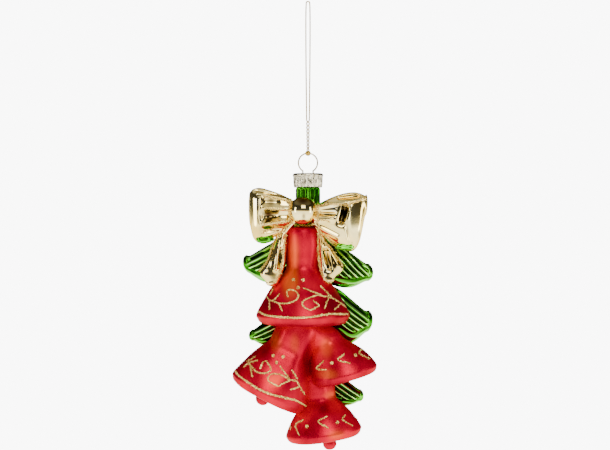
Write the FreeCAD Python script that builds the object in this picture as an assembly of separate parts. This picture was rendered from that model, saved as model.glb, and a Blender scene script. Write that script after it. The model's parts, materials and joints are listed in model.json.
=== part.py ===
"""Blown-glass Christmas ornament: a cluster of four bells under a bow, backed by a fir tree.

The ornament hangs from a loop of metallic cord. Below the cord come a sprung wire hanger with a
ring at its top, a stamped crown cap, and one mould-blown glass bubble. The bubble's moulded forms
are separate nodes that meet along the moulded valleys and share one hollow, because each form
has its own lacquer.

Frame: millimetres, +Z up, front towards -Y. The origin is the seat of the hanging loop, where a
hook or a twig bears inside the bend at the cord's top.
"""

import FreeCAD
import Part

import math
import os

Vector = FreeCAD.Vector

# ---------------------------------------------------------------- driving dimensions
WALL = 0.8                # thickness of the blown glass
SPLINTER = 8.0            # a cut-off scrap smaller than this volume is dropped

CORD_DIAMETER = 0.7
LOOP_HALF_WIDTH = 1.35    # from the loop's middle to a strand's centreline, beside the hook
STRAND_AT_KNOT = 0.42     # the same, where the strands meet the knot
KNOT_RADIUS = 1.35

WIRE_DIAMETER = 0.7
RING_RADIUS = 4.35        # of the wire's centreline
RING_Z = -72.95
LEG_X = 2.3               # from the axis, where a leg passes the cap's top
LEG_TIP_X = 3.9           # where a leg ends
LEG_TIP_Z = -93.0

CAP_RADIUS = 7.0
CAP_TOP_Z = -77.7
CAP_BOTTOM_Z = -84.2
CAP_SHEET = 0.35
FLUTES = 18
FLUTE_RADIUS = 0.6
HOLE_RADIUS = 0.55

NECK_RADIUS = 5.3         # bare glass tube inside the cap
NECK_TOP_Z = -78.3
COLLAR_RADIUS = 5.75      # fluted, lacquered neck below the cap
COLLAR_TOP_Z = -84.4
COLLAR_BOTTOM_Z = -95.0
COLLAR_RIBS = 12
COLLAR_RIB_RADIUS = 1.0

CLAPPER_RADIUS = 3.1
GLITTER_RADIUS = 0.35     # half the thickness of a glued line of glitter


def v(x, y, z):
    return Vector(x, y, z)


# ---------------------------------------------------------------- shape helpers
def closed_curve(points):
    curve = Part.BSplineCurve()
    curve.interpolate(Points=points, PeriodicFlag=True)
    return Part.Wire(curve.toShape())


def oval(centre, across, upright, half_across, half_up):
    """A closed oval about a centre, in the plane of two unit vectors."""
    points = []
    for k in range(12):
        turn = math.radians(30 * k)
        step = across * (half_across * math.cos(turn)) + upright * (half_up * math.sin(turn))
        points.append(centre + step)
    return closed_curve(points)


def puffed(stations, across, upright, tip=None):
    """A pair of lofts through ovals: the outside of a blown form, and its hollow.

    A station is (centre, half width, half height). The form is flat at its first station, which
    lies inside its neighbour, and closes to a tip.
    """
    outer = [oval(c, across, upright, a, b) for c, a, b in stations]
    inner = [oval(c, across, upright, a - WALL, b - WALL) for c, a, b in stations]
    if tip is not None:
        inward = (stations[-1][0] - tip).normalize()
        outer.append(Part.Vertex(tip))
        inner.append(Part.Vertex(tip + inward * (1.4 * WALL)))
    return Part.makeLoft(outer, True), Part.makeLoft(inner, True)


def turned(outline):
    """A solid turned about +Z from (radius, height) points that start and end on the axis."""
    points = [v(r, 0, h) for r, h in outline]
    curve = Part.BSplineCurve()
    curve.interpolate(points)
    profile = Part.Wire([curve.toShape(), Part.makeLine(points[-1], points[0])])
    return Part.Face(profile).revolve(v(0, 0, 0), v(0, 0, 1), 360)


def inset(outline, depth):
    """An outline from crown to base, moved in towards the axis square to itself."""
    moved = []
    for i, (r, h) in enumerate(outline):
        before = outline[max(i - 1, 0)]
        after = outline[min(i + 1, len(outline) - 1)]
        along = (after[0] - before[0], after[1] - before[1])
        length = math.hypot(*along)
        inward = (along[1] / length, -along[0] / length)
        if i in (0, len(outline) - 1):
            inward = (0.0, -1.0 if i == 0 else 1.0)
        moved.append((max(r + inward[0] * depth, 0.0), h + inward[1] * depth))
    return moved


def leaning(shape, lean, at):
    """Leans a shape sideways about Y, in degrees, and moves its local origin to a place."""
    shape = shape.copy()
    shape.rotate(v(0, 0, 0), v(0, 1, 0), lean)
    shape.translate(at)
    return shape


# ---------------------------------------------------------------- hanging loop and hardware
def cord_route():
    """Corners of the loop's centreline, from one end at the knot to the other."""
    bend = LOOP_HALF_WIDTH
    centre_z = -1.02
    low_z = RING_Z + RING_RADIUS + KNOT_RADIUS + 0.05
    return [
        v(-STRAND_AT_KNOT, 0, low_z),
        v(-bend, 0, centre_z + 0.58 * bend),
        v(0, 0, centre_z + 1.155 * bend),
        v(bend, 0, centre_z + 0.58 * bend),
        v(STRAND_AT_KNOT, 0, low_z),
    ]


def rounded_path(corners):
    """Straight runs joined by tangent arcs, and the arcs' radii."""
    edges = []
    radii = []
    last = corners[0]
    for before, corner, after in zip(corners, corners[1:], corners[2:]):
        back = (before - corner).normalize()
        ahead = (after - corner).normalize()
        half_turn = (math.pi - back.getAngle(ahead)) / 2
        setback = 0.45 * min(before.distanceToPoint(corner), after.distanceToPoint(corner))
        radius = setback / math.tan(half_turn)
        start = corner + back * setback
        end = corner + ahead * setback
        to_centre = (back + ahead).normalize() * (radius / math.cos(half_turn))
        middle = corner + to_centre - (back + ahead).normalize() * radius
        edges.append(Part.LineSegment(last, start).toShape())
        edges.append(Part.Arc(start, middle, end).toShape())
        radii.append(radius)
        last = end
    edges.append(Part.LineSegment(last, corners[-1]).toShape())
    return Part.Wire(edges), radii


def tube(path, start, direction, radius):
    section = Part.Wire(Part.makeCircle(radius, start, direction))
    return path.makePipeShell([section], True, False)


def cord_loop():
    corners = cord_route()
    path, radii = rounded_path(corners)
    print("cord bend radii", [round(r, 2) for r in radii], "length", round(path.Length, 1))
    return tube(path, corners[0], corners[1] - corners[0], CORD_DIAMETER / 2)


def cord_knot():
    """The wraps of thread on the ring's wire, free to slide and swing on it."""
    top = v(0, 0, RING_Z + RING_RADIUS)
    ball = Part.makeSphere(KNOT_RADIUS, top)
    eye = Part.makeTorus(RING_RADIUS, WIRE_DIAMETER / 2 + 0.08, v(0, 0, RING_Z), v(0, 1, 0))
    return ball.cut(eye)


def hanger_wire():
    """Ring, two shoulders and two spreading legs, bent from one wire."""
    radius = WIRE_DIAMETER / 2
    open_half = math.degrees(math.asin(LEG_X / RING_RADIUS))
    ring = Part.makeTorus(RING_RADIUS, radius, v(0, 0, 0), v(0, 0, 1), 0, 360, 360 - 2 * open_half)
    ring.rotate(v(0, 0, 0), v(0, 0, 1), open_half - 90)
    ring.rotate(v(0, 0, 0), v(1, 0, 0), 90)
    ring.translate(v(0, 0, RING_Z))
    foot_z = RING_Z - RING_RADIUS * math.cos(math.radians(open_half))
    wire = ring
    for side in (-1, 1):
        foot = v(side * LEG_X, 0, foot_z)
        tip = v(side * LEG_TIP_X, 0, LEG_TIP_Z)
        leg = Part.makeCylinder(radius, (tip - foot).Length, foot, tip - foot)
        wire = wire.fuse([leg, Part.makeSphere(radius, foot)])
    return wire.removeSplitter()


def cap():
    """A cup of thin sheet with a ribbed skirt, a scalloped edge and two holes for the legs."""
    height = CAP_TOP_Z - CAP_BOTTOM_Z
    base = v(0, 0, CAP_BOTTOM_Z)
    body_radius = CAP_RADIUS - FLUTE_RADIUS
    body = Part.makeCylinder(body_radius, height, base)
    ribs = []
    for k in range(FLUTES):
        turn = math.radians(360 * k / FLUTES)
        foot = v(body_radius * math.cos(turn), body_radius * math.sin(turn), CAP_BOTTOM_Z)
        ribs.append(Part.makeCylinder(FLUTE_RADIUS, height - 1.0, foot))
    body = body.fuse(ribs).removeSplitter()
    inside = Part.makeCylinder(body_radius - CAP_SHEET, height - CAP_SHEET, base)
    holes = []
    for side in (-1, 1):
        holes.append(Part.makeCylinder(HOLE_RADIUS, 4, v(side * LEG_X, 0, CAP_TOP_Z - 2)))
    return body.cut([inside] + holes)


# ---------------------------------------------------------------- blown forms
def bell(rim_radius, crown_height, waist_radius, lean, sway, rim_centre):
    """The outside and the hollow of a bell with a closed mouth.

    Heights are from the rim plane. The mouth's rounded lip and its flat base lie below it. The
    crown is swept sideways by the sway.
    """
    r = rim_radius
    w = waist_radius
    h = crown_height
    flare = r - w
    outline = [
        (0, h),
        (0.55 * w, h - 0.10 * w),
        (0.92 * w, h - 0.45 * w),
        (w, h - 1.0 * w),
        (w, 0.76 * h - 0.5 * w),
        (w, 0.52 * h),
        (w + 0.27 * flare, 0.40 * h),
        (w + 0.55 * flare, 0.28 * h),
        (w + 0.80 * flare, 0.14 * h),
        (r, 0),
        (0.985 * r, -0.10 * r),
        (0.90 * r, -0.20 * r),
        (0.70 * r, -0.235 * r),
        (0.35 * r, -0.235 * r),
        (0, -0.235 * r),
    ]
    pair = []
    for line in (outline, inset(outline, WALL)):
        if sway == 0:
            solid = turned(line)
        else:
            solid = swayed(line, sway / h ** 2)
        pair.append(leaning(solid, lean, rim_centre))
    return tuple(pair)


def swayed(outline, rate):
    """Like turned, with each circle moved along X by the rate times its height squared.

    The crown ends in a flat the size of a pinhead, and the base is flat.
    """
    lowest = min(h for r, h in outline)
    sections = []
    for r, h in outline:
        x = rate * h * h if h > 0 else 0.0
        sections.append(Part.Wire(Part.makeCircle(max(r, 0.5), v(x, 0, h))))
        if h < lowest + 0.05:
            break
    return Part.makeLoft(sections, True)


def clapper(lean, rim_centre, drop, aside):
    """The moulded knob that stands out of a bell's closed mouth."""
    at = v(aside, 0, -drop)
    outer = Part.makeSphere(CLAPPER_RADIUS, at)
    hollow = Part.makeSphere(CLAPPER_RADIUS - WALL, at)
    return leaning(outer, lean, rim_centre), leaning(hollow, lean, rim_centre)


def sideways(side, root, tip):
    """A form that reaches out along X. Root stations are (x, y, top, bottom, half depth)."""
    stations = []
    for x, y, top, bottom, half_depth in root:
        centre = v(side * x, y, (top + bottom) / 2)
        stations.append((centre, half_depth, (top - bottom) / 2))
    return puffed(stations, v(0, 1, 0), v(0, 0, 1), v(side * tip[0], tip[1], tip[2]))


def hanging(stations, tip):
    """A ribbon that hangs down. Its stations are (z, left, right, y, half depth)."""
    ovals = []
    for z, left, right, y, half_depth in stations:
        ovals.append((v((left + right) / 2, y, z), (right - left) / 2, half_depth))
    return puffed(ovals, v(1, 0, 0), v(0, 1, 0), tip)


def backward(x, top, height, reach):
    """A bough at the back, x wide to each side and reaching out along +Y."""
    stations = []
    for share, y in ((0.9, 6.0), (1.0, 12.0), (0.86, 16.5), (0.6, 19.2)):
        drop = 0.32 * (y - 6.0)
        middle = v(0, y, top - height / 2 - drop)
        stations.append((middle, x * share, height / 2 * share))
    tip = v(0, reach, top - height / 2 - 0.42 * (reach - 6.0))
    return puffed(stations, v(1, 0, 0), v(0, 0, 1), tip)


def trunk():
    """The middle of the tree, from the neck down to behind the lowest bell."""
    rows = [
        (-94.0, 0.0, 5.4),
        (-99.0, 1.5, 6.5),
        (-107.0, 5.0, 8.0),
        (-120.0, 7.5, 10.0),
        (-145.0, 8.0, 10.5),
        (-168.0, 8.0, 10.5),
        (-182.0, 7.0, 9.0),
        (-188.0, 6.5, 6.0),
    ]
    stations = [(v(0.6, y, z), radius, radius) for z, y, radius in rows]
    return puffed(stations, v(1, 0, 0), v(0, 1, 0), v(0.6, 6.0, -191.0))


def neck():
    """The bare neck inside the cap, and the fluted collar below it."""
    bare = Part.makeCylinder(NECK_RADIUS, NECK_TOP_Z - COLLAR_TOP_Z, v(0, 0, COLLAR_TOP_Z))
    length = COLLAR_TOP_Z - COLLAR_BOTTOM_Z
    collar = Part.makeCylinder(COLLAR_RADIUS - 0.4, length, v(0, 0, COLLAR_BOTTOM_Z))
    place = COLLAR_RADIUS - COLLAR_RIB_RADIUS
    ribs = []
    for k in range(COLLAR_RIBS):
        turn = math.radians(360 * (k + 0.5) / COLLAR_RIBS)
        foot = v(place * math.cos(turn), place * math.sin(turn), COLLAR_BOTTOM_Z)
        ribs.append(Part.makeCylinder(COLLAR_RIB_RADIUS, length, foot))
    outer = bare.fuse([collar] + ribs).removeSplitter()
    bore = Part.makeCylinder(NECK_RADIUS - WALL, 25.0, v(0, 0, COLLAR_BOTTOM_Z - 2.0))
    return outer, bore


def bow_knot():
    ball = Part.makeSphere(6.2, v(-2.5, -10.0, -94.8))
    hollow = Part.makeSphere(6.2 - WALL, v(-2.5, -10.0, -94.8))
    return ball, hollow


# A bell is (rim radius, crown height, waist radius, lean, sway, rim centre).
BELLS = {
    "bell_top": (20.9, 39.3, 7.6, 0.0, 0.0, v(-2.3, -2.0, -141.4)),
    "bell_left": (18.5, 38.0, 10.2, 26.8, 0.0, v(-17.0, -3.0, -175.6)),
    "bell_right": (15.9, 28.0, 7.8, -15.0, -12.0, v(15.6, -2.0, -167.8)),
    "bell_bottom": (17.1, 27.5, 7.4, -7.6, 0.0, v(7.0, -2.5, -194.0)),
}

# A clapper is (its bell, drop from the rim plane, distance aside).
CLAPPERS = {
    "clapper_left": ("bell_left", 5.2, -1.3),
    "clapper_bottom": ("bell_bottom", 6.2, 2.0),
}

# A sideways form is (side, stations, tip); a station is (x, y, top, bottom, half depth).
BOW_LOOPS = {
    "bow_loop_left": (-1, [
        (4.0, -6.0, -92.5, -98.0, 2.8),
        (7.6, -6.0, -89.6, -100.4, 4.0),
        (12.0, -5.5, -87.4, -104.6, 5.4),
        (17.0, -5.0, -85.6, -107.8, 6.4),
        (21.5, -4.5, -84.4, -109.4, 6.2),
        (24.6, -4.5, -84.9, -107.2, 4.8),
        (26.0, -4.5, -86.2, -102.0, 3.0),
    ], (26.8, -4.5, -93.0)),
    "bow_loop_right": (1, [
        (0.0, -6.15, -92.5, -98.0, 2.8),
        (4.5, -6.15, -91.6, -103.4, 4.0),
        (9.5, -5.65, -89.2, -108.4, 5.4),
        (15.0, -5.15, -87.2, -112.0, 6.4),
        (20.0, -4.65, -86.4, -113.0, 6.2),
        (23.2, -4.65, -86.8, -108.8, 5.0),
        (25.6, -4.65, -87.8, -98.0, 3.2),
    ], (27.0, -4.5, -90.8)),
}

LEAVES = {
    "leaf_left": (-1, [
        (15.2, -8.6, -106.9, -108.2, 0.9),
        (17.6, -8.6, -106.6, -109.2, 1.8),
        (20.6, -8.2, -106.8, -109.6, 1.8),
    ], (23.4, -7.8, -107.4)),
    "leaf_right": (1, [
        (12.8, -8.6, -110.4, -111.8, 0.9),
        (15.0, -8.6, -109.6, -112.4, 1.8),
        (18.0, -8.2, -109.6, -112.4, 1.8),
    ], (20.8, -7.8, -111.0)),
}

BOUGHS = {
    "bough_left_upper": (-1, [
        (6.0, 7.0, -103.0, -126.0, 7.0),
        (14.0, 7.0, -107.5, -128.4, 8.5),
        (21.0, 6.5, -111.6, -127.2, 8.0),
        (26.5, 6.0, -114.8, -123.8, 6.0),
    ], (30.1, 6.0, -118.0)),
    "bough_right_upper": (1, [
        (6.0, 7.0, -106.0, -126.0, 7.0),
        (13.0, 7.0, -109.8, -129.6, 8.5),
        (20.0, 6.5, -113.8, -130.0, 8.0),
        (26.0, 6.0, -118.2, -127.4, 6.2),
    ], (30.2, 6.0, -123.0)),
    "bough_left_middle": (-1, [
        (6.0, 7.0, -130.0, -152.0, 7.0),
        (14.0, 7.0, -139.0, -156.0, 8.5),
        (20.0, 6.5, -145.0, -156.6, 7.5),
        (24.5, 6.0, -148.6, -154.6, 5.5),
    ], (27.4, 6.0, -151.8)),
    "bough_right_middle": (1, [
        (6.0, 7.0, -127.0, -148.0, 7.0),
        (14.0, 7.0, -130.2, -152.5, 8.5),
        (20.0, 6.5, -135.0, -155.4, 8.0),
        (26.0, 6.0, -140.0, -151.0, 6.2),
    ], (30.0, 6.0, -144.5)),
    "bough_right_lower": (1, [
        (6.0, 7.0, -162.0, -182.0, 7.0),
        (13.0, 7.0, -168.0, -184.4, 7.5),
        (19.0, 6.5, -173.0, -184.0, 6.5),
        (23.0, 6.0, -176.0, -182.4, 4.8),
    ], (25.8, 6.0, -179.4)),
}

# A back bough is (half width, top, height, reach).
BACK_BOUGHS = {
    "bough_back_upper": (17.0, -102.0, 22.0, 20.5),
    "bough_back_middle": (19.0, -126.0, 24.0, 20.5),
    "bough_back_lower": (17.0, -152.0, 22.0, 20.5),
}

BOW_TAILS = {
    "bow_tail_left": ([
        (-100.5, -12.0, -8.0, -4.5, 2.2),
        (-105.1, -13.0, -9.2, -4.5, 2.8),
        (-109.0, -14.8, -9.4, -4.5, 3.2),
        (-113.0, -16.8, -9.6, -4.8, 3.6),
        (-117.5, -18.6, -10.0, -5.2, 4.0),
        (-121.0, -21.0, -10.8, -5.8, 4.0),
        (-123.5, -21.4, -11.6, -6.4, 3.6),
        (-126.2, -19.2, -12.8, -7.2, 2.8),
    ], v(-16.2, -7.8, -128.8)),
    "bow_tail_right": ([
        (-100.5, 3.2, 5.6, -4.5, 2.2),
        (-105.1, 3.9, 6.8, -4.5, 2.6),
        (-109.0, 4.0, 8.8, -4.5, 3.0),
        (-112.5, 4.0, 11.0, -4.8, 3.4),
        (-116.0, 4.2, 13.7, -5.2, 3.8),
        (-119.5, 4.6, 15.8, -5.8, 4.0),
        (-121.8, 5.2, 15.6, -6.2, 3.6),
        (-124.4, 6.0, 12.4, -7.0, 2.8),
    ], v(8.8, -8.0, -127.6)),
}


def blown_forms():
    """Every moulded form as (outside, hollow), the foremost first."""
    forms = {}
    forms["neck"] = neck()
    for name, sizes in BELLS.items():
        forms[name] = bell(*sizes)
    for name, (owner, drop, aside) in CLAPPERS.items():
        lean, rim_centre = BELLS[owner][3], BELLS[owner][5]
        forms[name] = clapper(lean, rim_centre, drop, aside)
    forms["bow_knot"] = bow_knot()
    for name, (stations, tip) in BOW_TAILS.items():
        forms[name] = hanging(stations, tip)
    for group in (BOW_LOOPS, LEAVES, BOUGHS):
        for name, (side, stations, tip) in group.items():
            forms[name] = sideways(side, stations, tip)
    for name, sizes in BACK_BOUGHS.items():
        forms[name] = backward(*sizes)
    forms["tree_trunk"] = trunk()
    return forms


def carve(shape, cutter):
    """Cuts a shape. Where the two seams coincide and the cut fails, the cutter is nudged."""
    for nudge in (0.0, 0.03, -0.03, 0.06):
        moved = cutter.copy()
        moved.translate(v(nudge, nudge, nudge))
        try:
            result = shape.cut(moved)
        except (ValueError, RuntimeError):
            continue
        if not result.isNull() and result.Solids and result.isValid():
            return result
    raise ValueError("a cut failed at every nudge")


def hollowed(outer, hollow):
    """Cuts the hollow out. An enclosed hollow has to take its whole volume away."""
    wall = carve(outer, hollow)
    enclosed = outer.BoundBox.isInside(hollow.BoundBox)
    if enclosed and wall.Volume > outer.Volume - 0.95 * hollow.Volume:
        raise ValueError("a form came out solid")
    return wall


def split_bubble(forms):
    """Gives each form the part of the one glass wall that is its own."""
    names = list(forms)
    nodes = {}
    for i, name in enumerate(names):
        outer, hollow = forms[name]
        cutters = []
        for j, other in enumerate(names):
            if j == i or not outer.BoundBox.intersect(forms[other][0].BoundBox):
                continue
            cutters.append(forms[other][0] if j < i else forms[other][1])
        wall = hollowed(outer, hollow)
        for cutter in cutters:
            wall = carve(wall, cutter)
        nodes[name] = wall
    return nodes


# ---------------------------------------------------------------- glitter on the rims
def glitter_rim(name, above, half_sweep):
    """A raised line of glitter round the front of a bell, at its widest circle."""
    rim_radius, _, _, lean, _, rim_centre = BELLS[name]
    radius = rim_radius + GLITTER_RADIUS + 0.02
    line = Part.makeTorus(radius, GLITTER_RADIUS, v(0, 0, above), v(0, 0, 1), 0, 360, 2 * half_sweep)
    line.rotate(v(0, 0, 0), v(0, 0, 1), -90 - half_sweep)
    return leaning(line, lean, rim_centre)


def write(name, shape):
    solids = [s for s in shape.Solids if abs(s.Volume) > SPLINTER]
    kept = solids[0] if len(solids) == 1 else Part.makeCompound(solids)
    kept.exportStep("parts/%s.step" % name)
    total = sum(s.Volume for s in solids)
    print("%-20s solids %d  volume %8.2f  valid %s" % (name, len(solids), total, kept.isValid()))


def main():
    os.makedirs("parts", exist_ok=True)
    write("cord_loop", cord_loop())
    write("cord_knot", cord_knot())
    write("hanger_wire", hanger_wire())
    write("cap", cap())
    for name, shape in split_bubble(blown_forms()).items():
        write(name, shape)
    write("glitter_rim_top", glitter_rim("bell_top", -0.6, 75))
    write("glitter_rim_left", glitter_rim("bell_left", -0.4, 66))


main()
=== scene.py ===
"""Looks for the blown-glass bell ornament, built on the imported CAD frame.

Lengths below are in millimetres, in the CAD frame, and become metres where a mesh is made.
"""

import json
import math

import bpy
import numpy as np
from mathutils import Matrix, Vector
from mathutils.bvhtree import BVHTree

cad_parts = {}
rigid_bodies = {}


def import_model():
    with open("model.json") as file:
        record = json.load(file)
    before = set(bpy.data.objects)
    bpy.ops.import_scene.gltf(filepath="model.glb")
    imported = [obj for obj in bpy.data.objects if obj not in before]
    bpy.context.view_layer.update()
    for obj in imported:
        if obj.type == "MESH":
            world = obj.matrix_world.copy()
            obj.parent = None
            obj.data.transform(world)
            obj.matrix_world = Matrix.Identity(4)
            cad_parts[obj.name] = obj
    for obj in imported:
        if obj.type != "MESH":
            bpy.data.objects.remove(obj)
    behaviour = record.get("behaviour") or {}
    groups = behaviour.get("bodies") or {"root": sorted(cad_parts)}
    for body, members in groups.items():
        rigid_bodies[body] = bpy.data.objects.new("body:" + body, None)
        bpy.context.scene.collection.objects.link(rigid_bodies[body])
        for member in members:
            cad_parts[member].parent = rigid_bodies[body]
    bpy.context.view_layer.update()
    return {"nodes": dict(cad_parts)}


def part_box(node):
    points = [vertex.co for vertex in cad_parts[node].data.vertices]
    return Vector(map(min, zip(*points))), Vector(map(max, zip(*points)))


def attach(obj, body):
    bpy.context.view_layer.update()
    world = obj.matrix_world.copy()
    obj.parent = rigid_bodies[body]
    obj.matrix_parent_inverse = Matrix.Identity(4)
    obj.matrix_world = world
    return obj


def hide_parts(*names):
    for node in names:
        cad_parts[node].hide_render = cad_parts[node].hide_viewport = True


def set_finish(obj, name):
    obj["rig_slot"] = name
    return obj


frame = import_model()

MM = 0.001
RNG = np.random.default_rng(7)


# ---------------------------------------------------------------- numbers and curves
def smoothstep(low, high, x):
    t = np.clip((x - low) / (high - low), 0.0, 1.0)
    return t * t * (3 - 2 * t)


def resample(rows, count):
    """Rows of numbers, made into a smooth run of count rows through them (Catmull-Rom)."""
    rows = np.asarray(rows, float)
    padded = np.vstack([2 * rows[0] - rows[1], rows, 2 * rows[-1] - rows[-2]])
    out = []
    for s in np.linspace(0, len(rows) - 1, count):
        i = min(int(s), len(rows) - 2)
        t = s - i
        a, b, c, d = padded[i:i + 4]
        out.append(0.5 * (2 * b + (c - a) * t + (2 * a - 5 * b + 4 * c - d) * t * t
                          + (3 * b - a - 3 * c + d) * t ** 3))
    return np.array(out)


def lumps(p, size, seed):
    """Slow, smooth unevenness between -1 and 1, for glass blown in a worn mould."""
    total = np.zeros(len(p))
    rng = np.random.default_rng(seed)
    for _ in range(5):
        direction = rng.normal(size=3)
        direction *= 2 * math.pi / (size * np.linalg.norm(direction))
        total += np.sin(p @ direction + rng.uniform(0, 6.28))
    return total / 3.0


def segment_distance(x, z, start, end):
    """Distance in the XZ plane from points to a segment."""
    ax, az = start
    bx, bz = end
    dx, dz = bx - ax, bz - az
    t = np.clip(((x - ax) * dx + (z - az) * dz) / (dx * dx + dz * dz), 0, 1)
    return np.hypot(x - ax - t * dx, z - az - t * dz)


# ---------------------------------------------------------------- meshes
def make_mesh(name, points, faces, smooth=True):
    mesh = bpy.data.meshes.new(name)
    mesh.from_pydata((np.asarray(points) * MM).tolist(), [], faces)
    mesh.validate()
    mesh.polygons.foreach_set("use_smooth", [smooth] * len(mesh.polygons))
    mesh.update()
    obj = bpy.data.objects.new(name, mesh)
    bpy.context.scene.collection.objects.link(obj)
    return obj


def grid_faces(rows, columns):
    faces = []
    for i in range(rows - 1):
        for j in range(columns):
            k = (j + 1) % columns
            faces.append((i * columns + j, i * columns + k, (i + 1) * columns + k, (i + 1) * columns + j))
    return faces


def grid_normals(grid):
    """Unit normals of a closed-round grid of points."""
    along = np.gradient(grid, axis=0)
    around = np.roll(grid, -1, axis=1) - np.roll(grid, 1, axis=1)
    normal = np.cross(around, along)
    length = np.linalg.norm(normal, axis=2, keepdims=True)
    outward = grid - grid.mean(axis=1, keepdims=True)
    if np.sum(normal * outward) < 0:
        normal = -normal
    return normal / np.maximum(length, 1e-9)


def skin(name, grid):
    """A closed mesh from rings of points, with a fan at each end, its faces turned outward."""
    rows, columns, _ = grid.shape
    points = np.vstack([grid.reshape(-1, 3), grid[0].mean(axis=0), grid[-1].mean(axis=0)])
    faces = grid_faces(rows, columns)
    first, last = rows * columns, rows * columns + 1
    base = (rows - 1) * columns
    for j in range(columns):
        k = (j + 1) % columns
        faces.append((k, j, first))
        faces.append((base + j, base + k, last))
    corners = np.array([face[:3] for face in faces] + [(f[0], f[-2], f[-1]) for f in faces if len(f) == 4])
    a, b, c = (points[corners[:, k]] for k in range(3))
    if np.sum(a * np.cross(b, c)) < 0:
        faces = [face[::-1] for face in faces]
    return make_mesh(name, points, faces)


def write_painted_light(obj, values):
    """Stores painted light for each vertex (below 0 painted shade, above 0 painted highlight); the last
    few, which close a skin's ends, may be left out.
    """
    full = np.zeros(len(obj.data.vertices))
    full[:len(values)] = np.clip(values, -1, 1)
    layer = obj.data.attributes.new("painted_light", "FLOAT", "POINT")
    layer.data.foreach_set("value", full)


def painted_light(obj, patches):
    """Paints shade (below 0) and highlights (above 0) into the colour, on the front only.

    A patch is (x, z, half width, half height, strength).
    """
    mesh = obj.data
    count = len(mesh.vertices)
    place = np.zeros(count * 3)
    normal = np.zeros(count * 3)
    mesh.vertices.foreach_get("co", place)
    mesh.vertices.foreach_get("normal", normal)
    place = place.reshape(-1, 3) / MM
    front = smoothstep(-0.3, 0.2, -normal.reshape(-1, 3)[:, 1])
    total = np.zeros(count)
    for x, z, wide, tall, strength in patches:
        away = ((place[:, 0] - x) / wide) ** 2 + ((place[:, 2] - z) / tall) ** 2
        total += strength * np.exp(-away ** 1.4)
    write_painted_light(obj, total * front)


def finish_piece(obj, body, slot, material, *nodes):
    obj.data.materials.clear()
    obj.data.materials.append(material)
    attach(obj, body)
    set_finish(obj, slot)
    if nodes:
        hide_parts(*nodes)
    return obj


# ---------------------------------------------------------------- materials
def fill_ramp(node, stops):
    """Gives a ramp node its (position, (red, green, blue)) stops."""
    elements = node.color_ramp.elements
    while len(elements) < len(stops):
        elements.new(0.5)
    for element, (position, colour) in zip(elements, stops):
        element.position = position
        element.color = (*colour, 1.0)


class Shader:
    """Short calls for wiring a Principled material."""

    def __init__(self, name):
        self.material = bpy.data.materials.new(name)
        self.material.use_nodes = True
        self.tree = self.material.node_tree
        self.bsdf = self.tree.nodes["Principled BSDF"]
        self.coords = self.node("ShaderNodeTexCoord")

    def node(self, kind, **values):
        made = self.tree.nodes.new(kind)
        for key, value in values.items():
            setattr(made, key, value)
        return made

    def link(self, output, target):
        self.tree.links.new(output, target)

    def set(self, **values):
        for key, value in values.items():
            self.bsdf.inputs[key.replace("_", " ")].default_value = value

    def noise(self, scale, detail=3.0, stretch=None):
        noise = self.node("ShaderNodeTexNoise")
        noise.inputs["Scale"].default_value = scale
        noise.inputs["Detail"].default_value = detail
        source = self.coords.outputs["Object"]
        if stretch:
            mapping = self.node("ShaderNodeMapping")
            mapping.inputs["Scale"].default_value = stretch
            self.link(source, mapping.inputs["Vector"])
            source = mapping.outputs["Vector"]
        self.link(source, noise.inputs["Vector"])
        return noise.outputs["Fac"]

    def ramp(self, fac, stops):
        ramp = self.node("ShaderNodeValToRGB")
        fill_ramp(ramp, stops)
        self.link(fac, ramp.inputs["Fac"])
        return ramp.outputs["Color"]

    def mixed_with_painted_light(self, colour, painted_shade_colour, painted_highlight_colour):
        """A colour taken towards a painted-shade colour or a painted-highlight colour by the piece's
        painted light and shade.
        """
        layer = self.node("ShaderNodeAttribute", attribute_name="painted_light")
        for factor, other in ((-1.0, painted_shade_colour), (1.0, painted_highlight_colour)):
            spread = self.node("ShaderNodeMapRange")
            spread.inputs["From Max"].default_value = factor
            self.link(layer.outputs["Fac"], spread.inputs["Value"])
            mix = self.node("ShaderNodeMix", data_type="RGBA")
            self.link(spread.outputs["Result"], mix.inputs[0])
            self.link(colour, mix.inputs[6])
            mix.inputs[7].default_value = (*other, 1.0)
            colour = mix.outputs[2]
        return colour

    def bump(self, height, strength, distance):
        bump = self.node("ShaderNodeBump")
        bump.inputs["Strength"].default_value = strength
        bump.inputs["Distance"].default_value = distance * MM
        self.link(height, bump.inputs["Height"])
        self.link(bump.outputs["Normal"], self.bsdf.inputs["Normal"])
        return bump

    def vary_roughness(self, fac, low, high):
        spread = self.node("ShaderNodeMapRange")
        spread.inputs["To Min"].default_value = low
        spread.inputs["To Max"].default_value = high
        self.link(fac, spread.inputs["Value"])
        self.link(spread.outputs["Result"], self.bsdf.inputs["Roughness"])


def red_lacquer():
    """Satin red lacquer over silvering, its red varying at random, with painted orange highlights and
    painted dark crimson shade.
    """
    s = Shader("red_lacquer")
    s.set(Metallic=0.62, Specular_IOR_Level=0.06, Specular_Tint=(0.90, 0.0, 0.05, 1))
    patches = s.noise(85, 2.0, (1, 1, 0.45))
    colour = s.ramp(patches, [(0.30, (0.27, 0.0, 0.011)), (0.48, (0.43, 0.0, 0.019)),
                              (0.66, (0.58, 0.0, 0.022)), (0.82, (0.66, 0.004, 0.014))])
    colour = s.mixed_with_painted_light(colour, (0.09, 0.0, 0.008), (0.95, 0.15, 0.004))
    s.link(colour, s.bsdf.inputs["Base Color"])
    s.vary_roughness(s.noise(1500, 3.0), 0.32, 0.46)
    s.bump(s.noise(3200, 2.0), 0.08, 0.05)
    return s.material


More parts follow.
